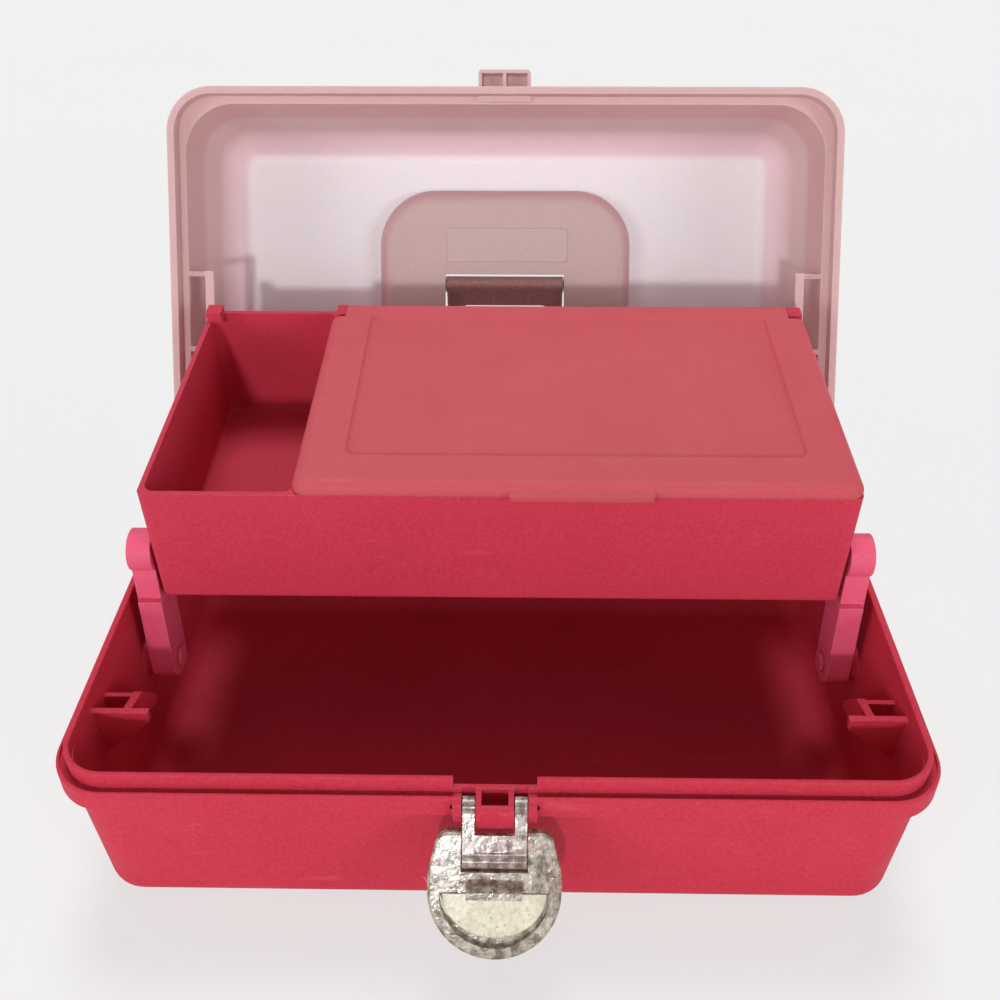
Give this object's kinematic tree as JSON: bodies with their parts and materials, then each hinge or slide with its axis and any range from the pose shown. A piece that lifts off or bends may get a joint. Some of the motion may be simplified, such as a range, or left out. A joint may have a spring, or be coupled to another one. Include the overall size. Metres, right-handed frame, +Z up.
{
  "type": "makeup case",
  "caption": "Plastic makeup case with a domed lid, a covered tray that swings out on arms as the lid opens, a fold-down carrying handle and an over-centre latch.",
  "frame": {"origin": "middle of the tub's flat underside", "axes": "+X to the object's right seen from the latch side, +Y towards the lid's hinges, +Z up"},
  "size_m": [0.33, 0.3628, 0.2484],
  "materials": {
    "tub_plastic": "satin moulded plastic, crimson pink",
    "tray_plastic": "satin moulded plastic, crimson pink",
    "cover_plastic": "satin moulded plastic, dusty coral",
    "lid_plastic": "satin moulded plastic, pale dusty pink",
    "arm_plastic": "satin moulded plastic, crimson pink",
    "arm_pin_plastic": "moulded plastic, crimson pink",
    "handle_plastic": "moulded plastic",
    "latch_plastic": "clear plastic",
    "pin_metal": "drawn wire",
    "pin_black": "black plastic"
  },
  "bodies": {
    "base": {"base_tub": "tub_plastic", "left_arm_base_pin": "arm_pin_plastic", "right_arm_base_pin": "arm_pin_plastic", "left_lid_hinge_pin": "pin_metal", "right_lid_hinge_pin": "pin_metal", "latch_base_pins": "pin_black"},
    "lid": {"lid_shell": "lid_plastic", "left_tray_swing_pin": "arm_pin_plastic", "right_tray_swing_pin": "arm_pin_plastic", "left_handle_pin": "pin_black", "right_handle_pin": "pin_black"},
    "tray": {"tray": "tray_plastic", "cover_hinge_pins": "pin_metal"},
    "cover": {"tray_cover": "cover_plastic"},
    "left_arm": {"left_front_arm": "arm_plastic", "left_arm_tray_pin": "arm_pin_plastic"},
    "right_arm": {"right_front_arm": "arm_plastic", "right_arm_tray_pin": "arm_pin_plastic"},
    "handle": {"handle": "handle_plastic"},
    "latch_link": {"latch_link": "latch_plastic", "latch_lever_pins": "pin_black"},
    "latch_lever": {"latch_lever": "latch_plastic"}
  },
  "joints": [
    {"name": "lid_hinge", "type": "hinge", "parent": "base", "child": "lid", "pos_m": [0, 0.098, 0.075], "axis": [-1, 0, 0], "range_deg": [-118.5, 0]},
    {"name": "tray_swing", "type": "hinge", "parent": "lid", "child": "tray", "pos_m": [0, 0.11485, 0.10468], "axis": [-1, 0, 0], "range_deg": [0, 122.1]},
    {"name": "left_arm_pivot", "type": "hinge", "parent": "base", "child": "left_arm", "pos_m": [0, 0.0038, 0.046], "axis": [-1, 0, 0], "range_deg": [-56.5, 0]},
    {"name": "right_arm_pivot", "type": "hinge", "parent": "base", "child": "right_arm", "pos_m": [0, 0.0038, 0.046], "axis": [-1, 0, 0], "range_deg": [-56.5, 0]},
    {"name": "cover_hinge", "type": "hinge", "parent": "tray", "child": "cover", "pos_m": [0, 0.12574, 0.15358], "axis": [-1, 0, 0], "range_deg": [0, 100]},
    {"name": "handle_hinge", "type": "hinge", "parent": "lid", "child": "handle", "pos_m": [0, 0.1969, 0.1335], "axis": [1, 0, 0], "range_deg": [-28.5, 61.5]},
    {"name": "latch_link_hinge", "type": "hinge", "parent": "base", "child": "latch_link", "pos_m": [0, -0.0931, 0.0715], "axis": [1, 0, 0], "range_deg": [-90, 20]},
    {"name": "latch_lever_hinge", "type": "hinge", "parent": "latch_link", "child": "latch_lever", "pos_m": [0, -0.10429, 0.05553], "axis": [1, 0, 0], "range_deg": [-57, 8]}
  ],
  "couplings": [
    {"joint": "tray_swing", "follows": "lid_hinge", "ratio": -1.0304},
    {"joint": "left_arm_pivot", "follows": "lid_hinge", "ratio": 0.47679},
    {"joint": "right_arm_pivot", "follows": "lid_hinge", "ratio": 0.47679}
  ]
}
